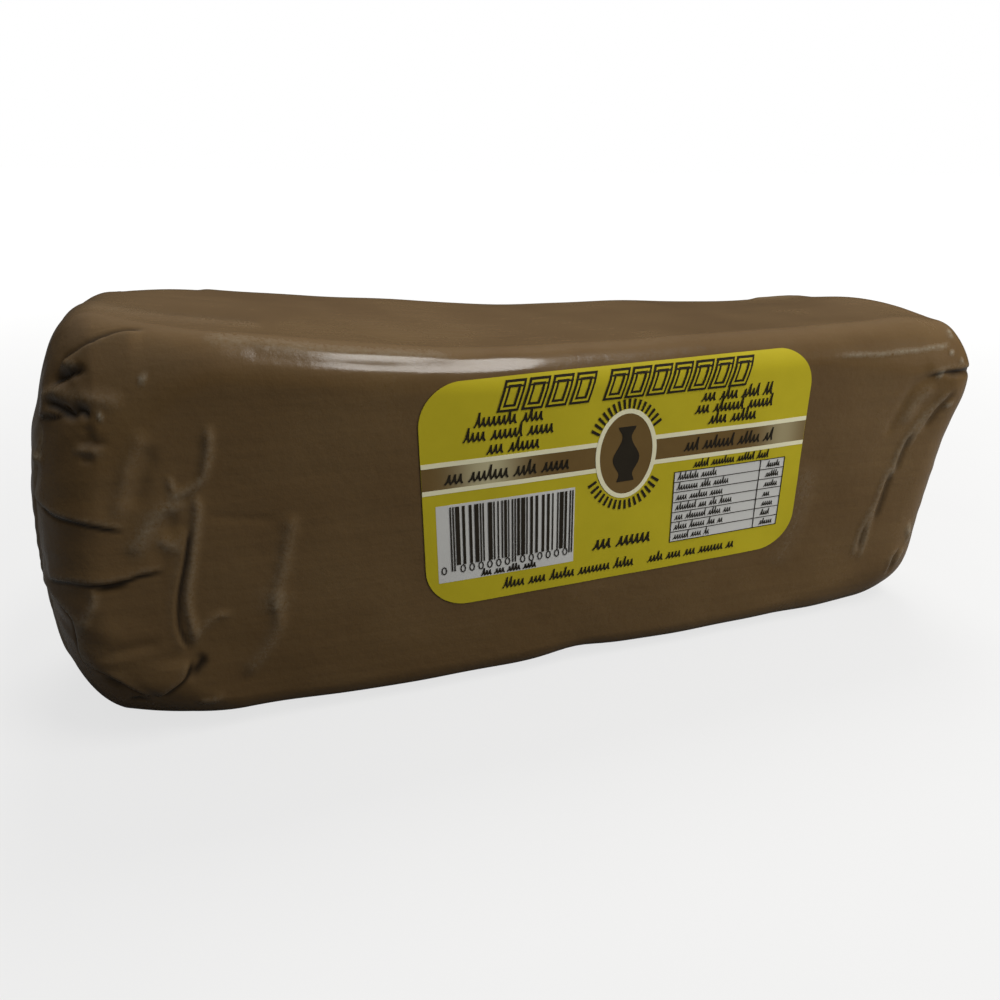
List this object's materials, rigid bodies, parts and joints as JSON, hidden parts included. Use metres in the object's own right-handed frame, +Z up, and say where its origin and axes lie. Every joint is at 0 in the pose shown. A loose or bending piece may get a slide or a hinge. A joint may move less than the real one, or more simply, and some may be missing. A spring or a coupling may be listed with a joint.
{
  "type": "wrapped bar of modelling clay",
  "caption": "Long bar of brown natural modelling clay wrapped tight in clear glossy film, with folded ends, a gently dipping top and a rounded yellow paper label on its front.",
  "frame": {"origin": "middle of the flat underside, under the centre of the bar's box", "axes": "+X along the bar, label on the -Y side, +Z up"},
  "size_m": [0.1916, 0.0517, 0.0749],
  "materials": {
    "clay": "matt, damp natural clay",
    "film": "glossy clear film",
    "film_folds": "glossy clear film, creased and a little hazy",
    "tape": "clear glossy tape",
    "label": "printed yellow sticker, satin"
  },
  "bodies": {
    "root": {"clay_bar": "clay", "film_sleeve": "film", "back_overlap": "film_folds", "seam_tapes": "tape", "left_front_tuck": "film_folds", "left_back_tuck": "film_folds", "left_low_flap": "film_folds", "left_top_flap": "film_folds", "left_end_tape": "tape", "right_front_tuck": "film_folds", "right_back_tuck": "film_folds", "right_low_flap": "film_folds", "right_top_flap": "film_folds", "right_end_tape": "tape", "front_label": "label"}
  },
  "joints": []
}
